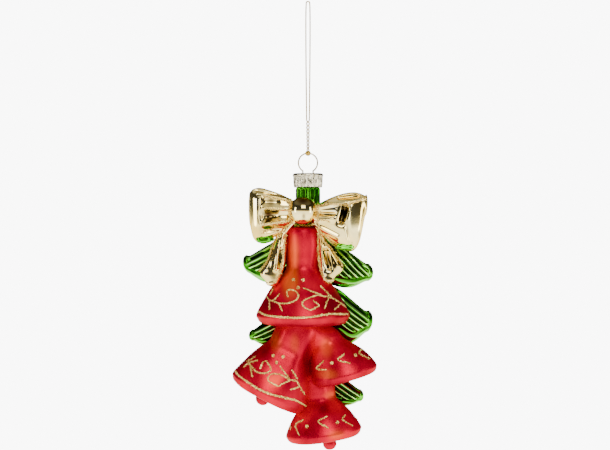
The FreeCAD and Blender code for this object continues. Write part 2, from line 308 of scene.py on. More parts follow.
def green_mirror():
    """Bright green lacquer over silvering."""
    s = Shader("green_mirror")
    s.set(Metallic=1.0, Specular_Tint=(0.55, 0.95, 0.40, 1))
    colour = s.ramp(s.noise(120, 2.0), [(0.35, (0.010, 0.14, 0.001)), (0.65, (0.12, 0.52, 0.02))])
    # painted shade (near black) in the needle valleys and painted highlights (pale green) on the ridges
    colour = s.mixed_with_painted_light(colour, (0.002, 0.016, 0.0005), (0.45, 0.90, 0.20))
    s.link(colour, s.bsdf.inputs["Base Color"])
    s.vary_roughness(s.noise(900, 3.0), 0.05, 0.12)
    s.bump(s.noise(420, 2.0), 0.10, 0.2)
    return s.material


def gold_mirror():
    """Pale gold lacquer over silvering, with painted shade (dark brown) in the folds and pockets and
    painted highlights in places.
    """
    s = Shader("gold_mirror")
    s.set(Metallic=1.0, Specular_Tint=(1.0, 0.82, 0.40, 1))
    colour = s.ramp(s.noise(90, 2.0), [(0.35, (0.86, 0.60, 0.14)), (0.65, (0.97, 0.80, 0.34))])
    colour = s.mixed_with_painted_light(colour, (0.035, 0.014, 0.004), (1.0, 0.92, 0.66))
    s.link(colour, s.bsdf.inputs["Base Color"])
    s.vary_roughness(s.noise(900, 3.0), 0.05, 0.13)
    s.bump(s.noise(300, 2.0), 0.15, 0.25)
    return s.material


def gold_glitter():
    s = Shader("gold_glitter")
    s.set(Metallic=0.55, Roughness=0.30)
    colour = s.ramp(s.noise(2500, 2.0), [(0.38, (0.34, 0.19, 0.02)), (0.58, (1.0, 0.76, 0.22))])
    s.link(colour, s.bsdf.inputs["Base Color"])
    return s.material


def silver_cap():
    """Thin stamped sheet, warm silver and finely crinkled down its skirt."""
    s = Shader("silver_cap")
    s.set(Metallic=1.0)
    colour = s.ramp(s.noise(700, 3.0), [(0.35, (0.30, 0.26, 0.16)), (0.65, (0.78, 0.71, 0.50))])
    s.link(colour, s.bsdf.inputs["Base Color"])
    s.vary_roughness(s.noise(1600, 3.0), 0.14, 0.28)
    s.bump(s.noise(1100, 3.0, (1, 1, 0.4)), 0.8, 0.5)
    return s.material


def hanger_steel():
    s = Shader("hanger_wire")
    s.set(Metallic=1.0)
    colour = s.ramp(s.noise(900, 2.0), [(0.35, (0.34, 0.24, 0.10)), (0.65, (0.74, 0.60, 0.32))])
    s.link(colour, s.bsdf.inputs["Base Color"])
    s.vary_roughness(s.noise(2200, 2.0), 0.12, 0.26)
    s.bump(s.noise(2600, 2.0, (0.2, 1, 1)), 0.08, 0.04)
    return s.material


def gold_thread():
    """Metallic thread."""
    s = Shader("gold_thread")
    s.set(Metallic=0.6, Roughness=0.40)
    colour = s.ramp(s.noise(1800, 2.0), [(0.35, (0.20, 0.11, 0.008)), (0.65, (0.62, 0.40, 0.06))])
    s.link(colour, s.bsdf.inputs["Base Color"])
    s.bump(s.noise(5200, 2.0), 0.25, 0.05)
    return s.material


RED = red_lacquer()
GREEN = green_mirror()
GOLD = gold_mirror()
GLITTER = gold_glitter()
SILVER = silver_cap()
WIRE = hanger_steel()
THREAD = gold_thread()


# ---------------------------------------------------------------- camera
FRAME_WIDTH = 277.2       # of what the camera sees at the ornament's middle
LENS = 85
SENSOR_WIDTH = 36
EYE = np.array([-1.35, -FRAME_WIDTH * LENS / SENSOR_WIDTH, -101.2])


def camera():
    data = bpy.data.cameras.new("camera")
    data.lens = LENS
    data.sensor_width = SENSOR_WIDTH
    data.clip_start = 0.01
    data.clip_end = 50
    obj = bpy.data.objects.new("camera", data)
    bpy.context.scene.collection.objects.link(obj)
    obj.location = Vector(EYE * MM)
    obj.rotation_euler = (math.radians(90), 0, 0)
    bpy.context.scene.camera = obj


camera()


# ---------------------------------------------------------------- bells
# (rim radius, crown height, waist radius, lean in degrees, sway, rim centre)
BELLS = {
    "bell_top": (20.9, 39.3, 7.6, 0.0, 0.0, (-2.3, -2.0, -141.4)),
    "bell_left": (18.5, 38.0, 10.2, 26.8, 0.0, (-17.0, -3.0, -175.6)),
    "bell_right": (15.9, 28.0, 7.8, -15.0, -12.0, (15.6, -2.0, -167.8)),
    "bell_bottom": (17.1, 27.5, 7.4, -7.6, 0.0, (7.0, -2.5, -194.0)),
}
# How many soft pleats run down a bell, and how deep they are
PLEATS = {
    "bell_top": (4, 0.12),
    "bell_left": (6, 0.45),
    "bell_right": (5, 0.25),
    "bell_bottom": (5, 0.25),
}
# Painted highlights (orange, above 0) and painted shade (dark crimson, below 0) on the bells: (x, z, half
# width, half height, strength)
RED_PAINTED_LIGHT = {
    "bell_top": [
        (-6.5, -114.0, 2.4, 8.0, 0.42), (-8.0, -127.0, 3.4, 6.0, 0.60), (1.5, -116.0, 1.6, 9.0, -0.35),
        (-16.5, -137.0, 4.5, 3.6, -0.65), (12.5, -135.0, 6.0, 5.0, -0.65),
        (-2.5, -103.0, 7.0, 1.6, -0.45), (-2.3, -145.5, 18.0, 1.6, -0.35), (1.0, -131.5, 3.0, 1.6, -0.5),
    ],
    "bell_left": [
        (-14.5, -153.5, 2.6, 4.0, 0.30), (-6.0, -154.0, 2.0, 4.0, 0.20), (-14.0, -170.0, 4.0, 3.0, 0.25),
        (-24.5, -166.5, 4.5, 3.2, -0.35), (-8.0, -172.0, 4.0, 4.0, -0.45), (-0.5, -160.0, 2.0, 10.0, -0.6),
        (-19.0, -158.0, 1.8, 4.0, -0.35),
    ],
    "bell_right": [
        (8.0, -156.0, 2.6, 4.0, 0.35), (8.5, -167.5, 4.0, 2.2, 0.35), (20.5, -161.0, 4.0, 2.6, -0.25),
        (14.0, -171.0, 9.0, 1.4, -0.4),
    ],
    "bell_bottom": [
        (7.0, -182.5, 2.4, 2.6, -0.55), (10.5, -177.5, 3.0, 2.0, 0.35), (0.0, -195.0, 5.0, 2.6, -0.25),
        (12.5, -194.0, 3.5, 2.0, 0.35), (5.0, -199.5, 9.0, 1.2, -0.35),
    ],
}


def bell_outline(r, h, w):
    flare = r - w
    return [
        (0.02, h), (0.55 * w, h - 0.10 * w), (0.92 * w, h - 0.45 * w), (w, h - w),
        (w, 0.76 * h - 0.5 * w), (w, 0.52 * h), (w + 0.27 * flare, 0.40 * h),
        (w + 0.55 * flare, 0.28 * h), (w + 0.80 * flare, 0.14 * h), (r, 0),
        (0.985 * r, -0.10 * r), (0.90 * r, -0.20 * r), (0.70 * r, -0.235 * r),
        (0.35 * r, -0.235 * r), (0.02, -0.235 * r),
    ]


def place_on_bell(name, local):
    """Local bell points (x, y, height) to the row frame."""
    r, h, w, lean, sway, centre = BELLS[name]
    x, y, z = local[..., 0], local[..., 1], local[..., 2]
    x = x + np.where(z > 0, sway * (z / h) ** 2, 0.0)
    a = math.radians(lean)
    return np.stack([
        centre[0] + x * math.cos(a) + z * math.sin(a),
        centre[1] + y,
        centre[2] - x * math.sin(a) + z * math.cos(a),
    ], axis=-1)


def bell_grid(name, rows=140, columns=160):
    r, h, w, lean, sway, centre = BELLS[name]
    outline = bell_outline(r, h, w)
    if name == "bell_top":
        # its crown is the only one on show, and is rather flat
        outline[:3] = [(0.02, h + 0.5), (0.74 * w, h), (0.96 * w, h - 0.22 * w)]
    outline = resample(outline, rows)
    outline[:, 0] = np.maximum(outline[:, 0], 0.02)
    turn = np.linspace(0, 2 * math.pi, columns, endpoint=False)
    count, depth = PLEATS[name]
    height = outline[:, 1][:, None]
    # pleats fade out at the crown, at the rim and under the lip
    fade = smoothstep(0.02 * h, 0.30 * h, height) * (1 - smoothstep(0.72 * h, 0.95 * h, height))
    wave = np.cos(count * turn + 0.6)[None, :]
    radius = outline[:, 0][:, None] + depth * fade * wave
    tall = np.broadcast_to(height, radius.shape)
    local = np.stack([radius * np.cos(turn), radius * np.sin(turn), tall], axis=-1)
    grid = place_on_bell(name, local)
    bulge = lumps(grid.reshape(-1, 3), 13.0, 3).reshape(grid.shape[:2])
    return grid + grid_normals(grid) * (0.12 * bulge)[..., None]


def clapper_grid(low, high, lean):
    """A knob that fills its CAD box across, drawn in a little where it leaves the mouth."""
    low, high = np.array(low) / MM, np.array(high) / MM
    radius = (high[0] - low[0]) / 2
    centre = np.array([(low[0] + high[0]) / 2, (low[1] + high[1]) / 2, low[2] + radius])
    rows = np.linspace(0.02, math.pi - 0.02, 40)
    turn = np.linspace(0, 2 * math.pi, 48, endpoint=False)
    grid = np.zeros((40, 48, 3))
    for i, a in enumerate(rows):
        r = radius * math.sin(a) * (1 - 0.08 * math.cos(a))
        x, z = r * np.cos(turn), radius * math.cos(a)
        grid[i, :, 0] = centre[0] + x * math.cos(lean) + z * math.sin(lean)
        grid[i, :, 1] = centre[1] + r * np.sin(turn)
        grid[i, :, 2] = centre[2] - x * math.sin(lean) + z * math.cos(lean)
    return grid


def bells():
    for name in BELLS:
        obj = skin(name + "_lacquered", bell_grid(name))
        # painted highlights and painted shade on the red lacquer
        painted_light(obj, RED_PAINTED_LIGHT[name])
        finish_piece(obj, "bubble", "red_lacquer", RED, name)
    for side in ("left", "bottom"):
        lean = math.radians(BELLS["bell_" + side][3])
        node = "clapper_" + side
        obj = skin(node + "_lacquered", clapper_grid(*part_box(node), lean))
        finish_piece(obj, "bubble", "red_lacquer", RED, node)


# ---------------------------------------------------------------- puffed forms
def puffed_grid(stations, tip, side, squareness, rows=110, columns=120):
    """Rings through ovals that reach out along X, from the root to the tip.

    A station is (x, y, top, bottom, half depth). The angle starts at the back and runs over the
    top, so that a quarter turn is the top, a half turn the front and three quarters the bottom.
    """
    table = [list(row) for row in stations]
    x, y, top, bottom, depth = table[-1]
    for step in (0.45, 0.78, 0.94, 1.0):
        shrink = math.sqrt(max(1 - step ** 2, 0.0)) + 0.01
        middle = (top + bottom) / 2 * (1 - step) + tip[2] * step
        half = (top - bottom) / 2 * shrink
        along = x + (tip[0] - x) * step
        table.append([along, y + (tip[1] - y) * step, middle + half, middle - half, depth * shrink])
    table = resample(table, rows)
    angle = np.linspace(0, 2 * math.pi, columns, endpoint=False)
    c, s = np.cos(angle), np.sin(angle)
    across = np.sign(c) * np.abs(c) ** squareness
    upright = np.sign(s) * np.abs(s) ** squareness
    grid = np.zeros((rows, columns, 3))
    for i, (x, y, top, bottom, depth) in enumerate(table):
        depth = max(depth, 0.02)
        half = max((top - bottom) / 2, 0.02)
        grid[i, :, 0] = side * x
        grid[i, :, 1] = y + depth * across
        grid[i, :, 2] = (top + bottom) / 2 + half * upright
    return grid, angle


# ---------------------------------------------------------------- fir boughs
# (side, slope of the needles in degrees, stations, tip)
BOUGHS = {
    "bough_left_upper": (-1, 28, [
        (6.0, 7.0, -103.0, -126.0, 7.0), (14.0, 7.0, -107.5, -128.4, 8.5),
        (21.0, 6.5, -111.6, -127.2, 8.0), (26.5, 6.0, -114.8, -123.8, 6.0),
    ], (30.1, 6.0, -118.0)),
    "bough_right_upper": (1, 47, [
        (6.0, 7.0, -106.0, -126.0, 7.0), (13.0, 7.0, -109.8, -129.6, 8.5),
        (20.0, 6.5, -113.8, -130.0, 8.0), (26.0, 6.0, -118.2, -127.4, 6.2),
    ], (30.2, 6.0, -123.0)),
    "bough_left_middle": (-1, 26, [
        (6.0, 7.0, -130.0, -152.0, 7.0), (14.0, 7.0, -139.0, -156.0, 8.5),
        (20.0, 6.5, -145.0, -156.6, 7.5), (24.5, 6.0, -148.6, -154.6, 5.5),
    ], (27.4, 6.0, -151.8)),
    "bough_right_middle": (1, 38, [
        (6.0, 7.0, -127.0, -148.0, 7.0), (14.0, 7.0, -130.2, -152.5, 8.5),
        (20.0, 6.5, -135.0, -155.4, 8.0), (26.0, 6.0, -140.0, -151.0, 6.2),
    ], (30.0, 6.0, -144.5)),
    "bough_right_lower": (1, 36, [
        (6.0, 7.0, -162.0, -182.0, 7.0), (13.0, 7.0, -168.0, -184.4, 7.5),
        (19.0, 6.5, -173.0, -184.0, 6.5), (23.0, 6.0, -176.0, -182.4, 4.8),
    ], (25.8, 6.0, -179.4)),
}
NEEDLE_PITCH = 2.3
NEEDLE_DEPTH = 0.8


def needles(distance, pitch):
    """Round ridges, from 0 in a valley to 1 on a ridge."""
    return 0.5 + 0.5 * np.cos(2 * math.pi * distance / pitch)


def needled(grid, angle, distance, pitch, tip_fade):
    """Needles over the upper two thirds, a smooth rolled lip, and a plain underside."""
    # how far round from the top towards the bottom, 0 to 1, by either face
    round_to = np.abs(((angle - math.pi / 2 + math.pi) % (2 * math.pi)) - math.pi) / math.pi
    over = smoothstep(0.02, 0.12, round_to) * (1 - smoothstep(0.58, 0.66, round_to))
    groove = np.exp(-((round_to - 0.675) / 0.04) ** 2)
    lip = np.exp(-((round_to - 0.77) / 0.06) ** 2)
    ridge = needles(distance, pitch)
    push = NEEDLE_DEPTH * (ridge - 0.8) * over[None, :] * tip_fade
    push = push + (0.35 * lip - 0.5 * groove)[None, :] * tip_fade - 0.2
    # painted highlights on the ridges and the lip, and painted shade in the valleys and the groove between
    # them
    needle_painted_light = (1.7 * smoothstep(0.25, 0.95, ridge) - 0.95) * over[None, :] * tip_fade
    needle_painted_light = needle_painted_light + (0.5 * lip - 0.8 * groove)[None, :]
    return grid + grid_normals(grid) * push[..., None], needle_painted_light.ravel()


def bough_grid(side, slope, stations, tip):
    grid, angle = puffed_grid(stations, tip, side, 0.86, 150, 200)
    slope = math.radians(slope)
    x, z = side * grid[..., 0], grid[..., 2]
    across = z * math.cos(slope) + x * math.sin(slope)
    fade = 1 - smoothstep(tip[0] - 4.5, tip[0] - 1.2, x)
    return needled(grid, angle, across, NEEDLE_PITCH, fade)


# (half width, top, height, reach)
BACK_BOUGHS = {
    "bough_back_upper": (17.0, -102.0, 22.0, 20.5),
    "bough_back_middle": (19.0, -126.0, 24.0, 20.5),
    "bough_back_lower": (17.0, -152.0, 22.0, 20.5),
}


def back_bough_grid(half_width, top, height, reach):
    """A bough at the back, with needles that fan out as they hang."""
    stations = []
    for share, y in ((0.9, 6.0), (1.0, 12.0), (0.86, 16.5), (0.6, 19.2)):
        drop = 0.32 * (y - 6.0)
        half = height / 2 * share
        middle = top - height / 2 - drop
        stations.append((y, 0.0, middle + half, middle - half, half_width * share))
    tip = (reach, 0.0, top - height / 2 - 0.42 * (reach - 6.0))
    grid, angle = puffed_grid(stations, tip, 1, 0.9, 140, 260)
    grid = np.stack([-grid[..., 1], grid[..., 0], grid[..., 2]], axis=-1)
    fan = grid[..., 0] * (1 + 0.012 * (grid[..., 2] - top + height / 2))
    return needled(grid, angle, fan, 2.4, np.ones(grid.shape[:2]))


def trunk_grid():
    rows = [
        (-94.0, 0.0, 5.4), (-99.0, 1.5, 6.5), (-107.0, 5.0, 8.0), (-120.0, 7.5, 10.0),
        (-145.0, 8.0, 10.5), (-168.0, 8.0, 10.5), (-182.0, 7.0, 9.0), (-188.0, 6.5, 6.0),
        (-190.4, 6.2, 2.6), (-191.0, 6.0, 0.1),
    ]
    turn = np.linspace(0, 2 * math.pi, 160, endpoint=False)
    grid = []
    for z, y, radius in resample(rows, 160):
        groove = 0.45 * (needles(turn * 11, math.pi) - 0.8) * min(radius / 8, 1)
        r = np.maximum(radius + groove - 0.2, 0.02)
        grid.append(np.stack([0.6 + r * np.cos(turn), y + r * np.sin(turn), np.full(160, z)], axis=-1))
    return np.array(grid)


def tree():
    shapes = {name: bough_grid(*sizes) for name, sizes in BOUGHS.items()}
    shapes.update({name: back_bough_grid(*sizes) for name, sizes in BACK_BOUGHS.items()})
    for name, (grid, needle_painted_light) in shapes.items():
        obj = skin(name + "_needles", grid)
        # painted highlights on the needle ridges and painted shade between them
        write_painted_light(obj, needle_painted_light)
        finish_piece(obj, "bubble", "green_mirror", GREEN, name)
    obj = skin("tree_trunk_fluted", trunk_grid())
    finish_piece(obj, "bubble", "green_mirror", GREEN, "tree_trunk")


# ---------------------------------------------------------------- bow
BOW_LOOPS = {
    "bow_loop_left": (-1, [
        (4.0, -6.0, -92.5, -98.0, 2.8), (7.6, -6.0, -89.6, -100.4, 4.0),
        (12.0, -5.5, -87.4, -104.6, 5.4), (17.0, -5.0, -85.6, -107.8, 6.4),
        (21.5, -4.5, -84.4, -109.4, 6.2), (24.6, -4.5, -84.9, -107.2, 4.8),
        (26.0, -4.5, -86.2, -102.0, 3.0),
    ], (26.8, -4.5, -93.0)),
    "bow_loop_right": (1, [
        (0.0, -6.15, -92.5, -98.0, 2.8), (4.5, -6.15, -91.6, -103.4, 4.0),
        (9.5, -5.65, -89.2, -108.4, 5.4), (15.0, -5.15, -87.2, -112.0, 6.4),
        (20.0, -4.65, -86.4, -113.0, 6.2), (23.2, -4.65, -86.8, -108.8, 5.0),
        (25.6, -4.65, -87.8, -98.0, 3.2),
    ], (27.0, -4.5, -90.8)),
}

# Folds of the bow: (start, end, height, half width) in the XZ plane; a negative height is a valley
LOOP_FOLDS = {
    "bow_loop_left": [
        ((-7.6, -94.0), (-19.6, -93.6), 0.9, 0.9),
        ((-8.5, -99.4), (-20.4, -101.1), 1.0, 0.9),
        ((-8.0, -96.6), (-14.5, -97.0), -0.7, 1.4),
        ((-15.5, -96.8), (-18.4, -97.2), -2.0, 2.2),
        ((-14.5, -91.0), (-18.4, -90.8), -1.1, 1.8),
        ((-9.5, -102.4), (-19.0, -103.6), -1.2, 1.2),
        ((-21.6, -89.5), (-21.4, -106.0), 0.7, 1.0),
        ((-8.5, -89.7), (-22.5, -86.8), 0.6, 0.6),
        ((-10.5, -88.5), (-24.0, -85.7), -0.9, 0.6),
    ],
    "bow_loop_right": [
        ((3.6, -93.4), (13.0, -91.8), 0.8, 0.8),
        ((3.0, -98.4), (11.0, -98.6), 0.8, 0.9),
        ((3.2, -101.6), (13.0, -106.6), 0.9, 1.0),
        ((3.4, -96.2), (11.5, -96.2), -1.2, 0.9),
        ((15.0, -99.5), (16.6, -93.2), -2.0, 1.5),
        ((18.6, -92.2), (17.0, -100.8), 0.8, 1.0),
        ((17.0, -100.8), (19.2, -109.5), -0.9, 0.9),
        ((7.0, -91.6), (15.5, -91.4), 0.7, 0.6),
        ((15.5, -91.4), (25.4, -89.0), 0.8, 0.6),
        ((14.0, -89.2), (22.6, -88.0), -1.8, 0.9),
    ],
}
# Painted shade (dark brown) in the folds and pockets, a painted reflection of a dark room on the knot's
# upper half, and painted highlights above 0: (x, z, half width, half height, strength)
GOLD_PAINTED_LIGHT = {
    "bow_loop_left": [
        (-17.6, -96.6, 3.4, 3.0, -1.0), (-17.6, -102.2, 3.0, 0.9, -0.95),
        (-16.6, -90.4, 1.9, 2.2, -0.85),
        (-15.0, -87.9, 7.0, 0.35, -0.6), (-23.6, -87.2, 1.1, 0.6, -0.6), (-21.0, -104.0, 1.0, 3.0, -0.3),
        (-23.0, -91.0, 1.4, 2.6, 0.6),
    ],
    "bow_loop_right": [
        (16.2, -95.6, 2.2, 4.2, -1.0), (13.4, -92.6, 2.2, 1.4, -0.6), (15.2, -100.0, 1.2, 1.6, -0.7),
        (9.0, -96.4, 2.2, 0.5, -0.8),
        (19.0, -89.9, 4.2, 0.4, -0.7), (17.6, -104.0, 0.5, 3.5, -0.6), (23.0, -105.5, 0.5, 1.6, -0.6),
        (11.6, -94.0, 1.6, 1.6, 0.6),
    ],
    "bow_tail_left": [
        (-12.9, -116.0, 0.7, 4.4, -0.9), (-17.6, -119.0, 0.6, 4.0, -0.6), (-14.8, -118.0, 1.2, 2.0, -0.2),
    ],
    "bow_tail_right": [
        (8.8, -117.0, 1.4, 4.4, -0.95), (11.6, -119.0, 1.6, 2.0, -0.9), (7.4, -108.6, 1.0, 0.8, -0.9),
    ],
    "bow_knot": [(-2.2, -90.2, 5.4, 3.6, -1.0), (-1.9, -97.4, 0.8, 1.4, -0.7)],
}


def relief(grid, middle_y, folds):
    """Moves the front of a form forward, and its back backward, by its folds."""
    x, y, z = grid[..., 0], grid[..., 1], grid[..., 2]
    height = np.zeros(x.shape)
    for start, end, tall, wide in folds:
        distance = segment_distance(x, z, start, end)
        height += tall * np.exp(-(distance / wide) ** 2)
    facing = np.clip((y - middle_y) / 2.5, -1, 1)
    moved = grid.copy()
    moved[..., 1] = y + height * facing
    return moved


# (z, left, right, y, half depth) down each tail
BOW_TAILS = {
    "bow_tail_left": ([
        (-98.0, -9.5, -4.5, -4.5, 2.0), (-100.5, -11.4, -5.2, -4.5, 2.4), (-105.1, -14.2, -9.0, -4.5, 2.8),
        (-109.0, -15.4, -9.4, -4.5, 3.2), (-113.0, -16.8, -9.6, -4.8, 3.6),
        (-117.5, -18.6, -10.0, -5.2, 4.0), (-121.0, -21.0, -10.8, -5.8, 4.0),
        (-123.5, -21.4, -11.6, -6.4, 3.6), (-126.2, -19.2, -12.8, -7.2, 2.8),
    ], (-16.2, -7.8, -128.8)),
    "bow_tail_right": ([
        (-98.0, 0.0, 4.4, -4.5, 2.0), (-100.5, 1.4, 5.4, -4.5, 2.4), (-105.1, 3.9, 6.8, -4.5, 2.6),
        (-109.0, 4.0, 8.8, -4.5, 3.0), (-112.5, 4.0, 11.0, -4.8, 3.4),
        (-116.0, 4.2, 13.7, -5.2, 3.8), (-119.5, 4.6, 15.8, -5.8, 4.0),
        (-121.8, 5.2, 15.6, -6.2, 3.6), (-124.4, 6.0, 12.4, -7.0, 2.8),
    ], (8.8, -8.0, -127.6)),
}
TAIL_FOLDS = {
    "bow_tail_left": [
        ((-11.4, -104.5), (-14.6, -121.0), 0.7, 0.8),
        ((-12.4, -112.0), (-12.6, -120.0), -1.2, 0.9),
        ((-13.6, -107.0), (-18.8, -121.0), 0.7, 0.8),
    ],
    "bow_tail_right": [
        ((5.6, -106.0), (7.0, -123.0), 0.8, 0.8),
        ((8.0, -112.5), (9.6, -120.5), -1.5, 1.1),
        ((7.4, -107.0), (13.8, -119.5), 0.7, 0.8),
    ],
}


def tail_grid(stations, tip):
    """A puffed ribbon that hangs down, closed to a tip."""
    table = [list(row) for row in stations]
    z, left, right, y, depth = table[-1]
    for step in (0.5, 0.85, 1.0):
        shrink = math.sqrt(max(1 - step ** 2, 0.0)) + 0.01
        middle = (left + right) / 2 * (1 - step) + tip[0] * step
        half = (right - left) / 2 * shrink
        table.append([z + (tip[2] - z) * step, middle - half, middle + half,
                      y + (tip[1] - y) * step, depth * shrink])
    angle = np.linspace(0, 2 * math.pi, 100, endpoint=False)
    grid = []
    for z, left, right, y, depth in resample(table, 110):
        half = max((right - left) / 2, 0.02)
        depth = max(depth, 0.02)
        c = np.sign(np.cos(angle)) * np.abs(np.cos(angle)) ** 0.85
        s = np.sign(np.sin(angle)) * np.abs(np.sin(angle)) ** 0.85
        grid.append(np.stack([(left + right) / 2 + half * c, y - depth * s, np.full(100, z)], axis=-1))
    return np.array(grid)


LEAVES = {
    "leaf_left": (-1, [
        (15.2, -8.6, -106.9, -108.2, 0.9), (17.6, -8.6, -106.6, -109.2, 1.8),
        (20.6, -8.2, -106.8, -109.6, 1.8),
    ], (23.4, -7.8, -107.4)),
    "leaf_right": (1, [
        (12.8, -8.6, -110.4, -111.8, 0.9), (15.0, -8.6, -109.6, -112.4, 1.8),
        (18.0, -8.2, -109.6, -112.4, 1.8),
    ], (20.8, -7.8, -111.0)),
}


def knot_grid():
    """The bow's round knot, with the shallow ring that the mould leaves round it."""
    low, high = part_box("bow_knot")
    radius = (high[2] - low[2]) / 2 / MM
    centre = np.array([(low[0] + high[0]) / 2, low[1] + radius * MM, (low[2] + high[2]) / 2]) / MM
    turn = np.linspace(0, 2 * math.pi, 120, endpoint=False)
    grid = []
    for a in np.linspace(0.02, math.pi - 0.02, 90):
        r = radius * math.sin(a)
        out = -radius * math.cos(a)
        if a > math.pi / 2:
            r = radius * (1 - 0.12 * (a - math.pi / 2))
        across, up = centre[0] + r * np.cos(turn), centre[2] + r * np.sin(turn)
        grid.append(np.stack([across, np.full(120, centre[1] + out), up], axis=-1))
    return np.array(grid)[::-1]


def bow():
    for name, (side, stations, tip) in BOW_LOOPS.items():
        grid, _ = puffed_grid(stations, tip, side, 0.80, 170, 200)
        obj = skin(name + "_ribbon", relief(grid, -5.0, LOOP_FOLDS[name]))
        # painted shade in the folds and painted highlights on the gold
        painted_light(obj, GOLD_PAINTED_LIGHT[name])
        finish_piece(obj, "bubble", "gold_mirror", GOLD, name)
    for name, (stations, tip) in BOW_TAILS.items():
        obj = skin(name + "_ribbon", relief(tail_grid(stations, tip), -5.2, TAIL_FOLDS[name]))
        # painted shade in the folds and painted highlights on the gold
        painted_light(obj, GOLD_PAINTED_LIGHT[name])
        finish_piece(obj, "bubble", "gold_mirror", GOLD, name)
    for name, (side, stations, tip) in LEAVES.items():
        grid, _ = puffed_grid(stations, tip, side, 0.9, 50, 50)
        vein = ((grid[0, :, 0].mean(), grid[0, :, 2].mean()), (side * tip[0], tip[2]), -0.35, 0.35)
        grid = relief(grid, -8.4, [vein])
        finish_piece(skin(name + "_veined", grid), "bubble", "green_mirror", GREEN, name)
    obj = skin("bow_knot_ball", knot_grid())
    # painted reflection of a dark room on the knot's upper half
    painted_light(obj, GOLD_PAINTED_LIGHT["bow_knot"])
    finish_piece(obj, "bubble", "gold_mirror", GOLD, "bow_knot")


bells()
tree()
bow()


# ---------------------------------------------------------------- glued glitter
STROKES = {
    "bell_top": [
        [(-18.6, -133.7), (-17.4, -135.3), (-15.8, -135.8), (-13.7, -136.7), (-11.7, -136.9),
         (-8.7, -136.7), (-5.7, -135.5), (-4.3, -133.7), (-5.2, -131.8), (-6.8, -130.9),
         (-8.4, -130.7), (-9.6, -131.6), (-9.1, -133.9)],
        [(-15.8, -135.8), (-12.8, -132.5)],
        [(-17.2, -133.0), (-15.6, -130.2)],
        [(-17.4, -135.3), (-17.4, -139.7)],
        [(-13.1, -136.9), (-11.7, -140.1)],
        [(2.6, -135.8), (4.9, -137.7), (4.0, -138.6), (1.2, -139.8), (-1.3, -138.8),
         (-2.7, -137.2), (-1.8, -135.6), (1.0, -134.2), (4.0, -133.3), (6.5, -133.5),
         (9.8, -134.2), (12.3, -135.2), (14.8, -136.8), (17.1, -138.6)],
        [(-2.2, -129.9), (6.5, -133.3)],
        [(5.6, -128.9), (11.2, -134.7)],
        [(9.1, -134.7), (7.5, -139.3)],
        [(14.8, -137.0), (11.8, -139.8)],
    ],
    "bell_left": [
        [(-26.9, -164.0), (-25.0, -166.3), (-23.0, -168.1), (-19.7, -168.6), (-17.2, -167.5),
         (-16.8, -166.6), (-17.7, -164.9), (-19.1, -163.1), (-20.7, -164.0), (-21.6, -166.3)],
        [(-26.9, -164.0), (-22.7, -162.8)],
        [(-27.8, -163.5), (-23.7, -161.0)],
        [(-26.9, -164.0), (-29.4, -166.1)],
        [(-26.2, -164.8), (-25.3, -170.2)],
        [(-12.1, -173.5), (-13.1, -174.4), (-14.9, -173.9), (-17.7, -172.3), (-18.1, -170.7),
         (-16.8, -169.1), (-14.0, -168.9), (-11.2, -169.8), (-8.9, -171.2), (-7.5, -171.6),
         (-5.2, -172.3), (-4.3, -173.9), (-2.9, -176.2), (-1.5, -178.3)],
        [(-12.8, -165.2), (-8.7, -170.9)],
        [(-7.3, -167.0), (-5.0, -171.2)],
        [(-8.0, -175.9), (-4.1, -174.8)],
        [(-12.1, -173.5), (-8.0, -171.8)],
    ],
    "bell_right": [
        [(7.2, -162.9), (4.1, -166.4), (8.1, -167.1)],
        [(16.4, -160.0), (13.7, -162.5), (19.2, -164.1)],
        [(24.4, -157.7), (23.3, -159.7), (28.2, -162.0)],
    ],
    "bell_bottom": [
        [(-1.9, -189.8), (-5.5, -191.9), (-4.0, -196.7)],
        [(8.8, -188.3), (4.7, -190.6), (9.3, -193.5)],
        [(17.1, -187.5), (15.7, -189.7), (20.3, -192.5)],
        [(-7.8, -192.4), (-7.8, -194.2)],
        [(21.9, -189.0), (22.8, -189.9)],
    ],
}
DOTS = {
    "bell_top": [(-6.6, -126.1), (-2.2, -126.1), (-4.5, -129.7)],
    "bell_left": [(-15.9, -160.6), (-11.3, -161.1), (-14.3, -163.6)],
    "bell_right": [(10.9, -163.9), (21.5, -160.4)],
    "bell_bottom": [(-0.5, -192.8), (13.4, -191.0)],
}
RIM_LINES = {
    "top": [(-22.6, -140.5), (-19.0, -142.2), (-14.9, -142.8), (-6.5, -143.4), (1.7, -143.0),
            (9.5, -141.8), (18.0, -141.8)],
    "left": [(-33.0, -167.5), (-31.2, -169.8), (-26.0, -173.5), (-21.6, -176.1),
             (-16.4, -178.2), (-10.7, -179.7), (-5.5, -181.0), (-0.8, -183.6)],
}
